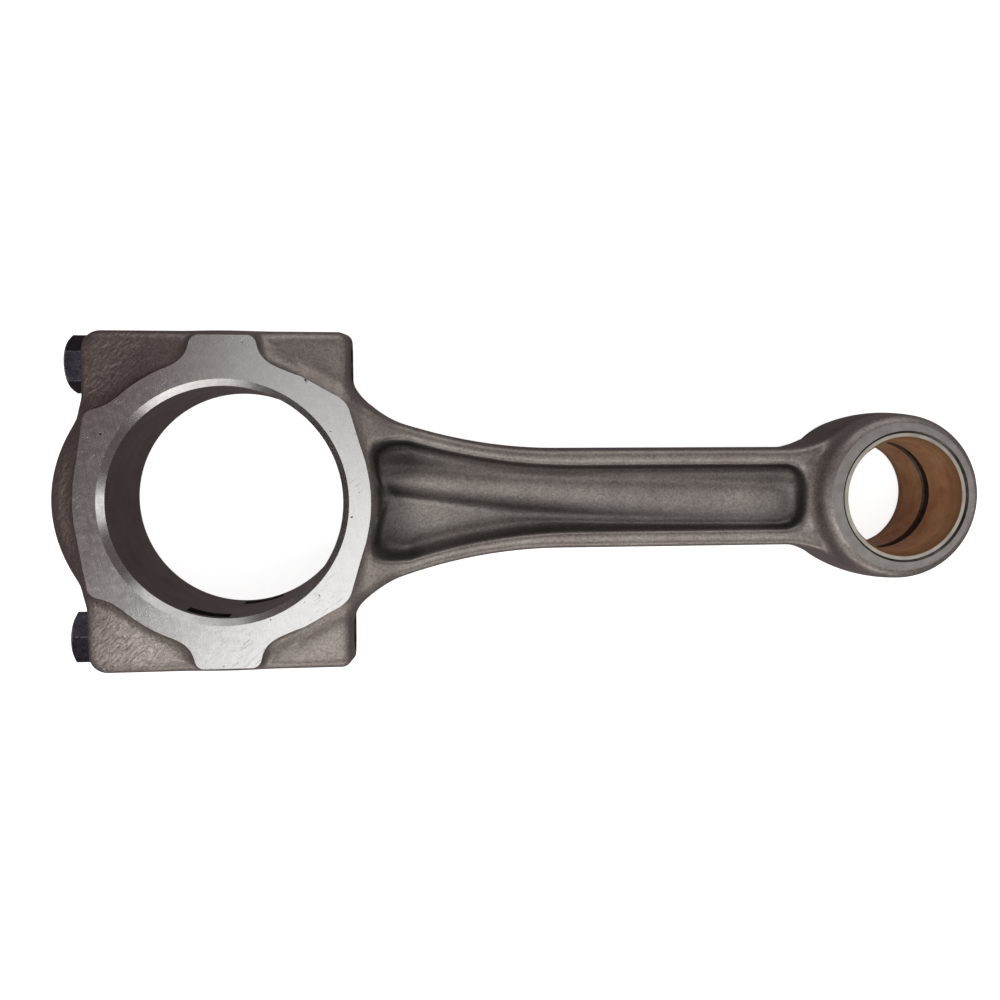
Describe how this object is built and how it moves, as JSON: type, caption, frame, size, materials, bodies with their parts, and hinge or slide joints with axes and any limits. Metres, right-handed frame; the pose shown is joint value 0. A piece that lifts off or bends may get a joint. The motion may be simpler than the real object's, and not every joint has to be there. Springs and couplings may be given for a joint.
{
  "type": "connecting rod",
  "caption": "Forged I-section connecting rod with a bolted, dowelled big-end cap and a bronze-lined small-end bush.",
  "frame": {"origin": "centre of the big-end bore at half the rod's width", "axes": "+X along the shank to the small end, +Z along both bores, +Y across the cap bolts"},
  "size_m": [0.2434, 0.0872, 0.0336],
  "materials": {
    "forged_steel": "shot-peened forging, satin warm grey, with ground faces and bores",
    "bush_steel": "turned steel back of the bush",
    "bush_bronze": "bored bronze lining, satin",
    "bolt_steel": "black oxide on high-tensile steel",
    "dowel_steel": "ground"
  },
  "bodies": {
    "rod": {"rod_body": "forged_steel", "bush_backing": "bush_steel", "bush_lining": "bush_bronze", "cap_dowel_1": "dowel_steel", "cap_dowel_2": "dowel_steel"},
    "cap": {"rod_cap": "forged_steel"},
    "bolt_1": {"cap_bolt_1": "bolt_steel"},
    "bolt_2": {"cap_bolt_2": "bolt_steel"}
  },
  "joints": [
    {"name": "cap_slide", "type": "slide", "parent": "rod", "child": "cap", "axis": [-1, 0, 0], "range_m": [0, 0.05]},
    {"name": "bolt_1_slide", "type": "slide", "parent": "cap", "child": "bolt_1", "axis": [-1, 0, 0], "range_m": [0, 0.065]},
    {"name": "bolt_2_slide", "type": "slide", "parent": "cap", "child": "bolt_2", "axis": [-1, 0, 0], "range_m": [0, 0.065]}
  ]
}
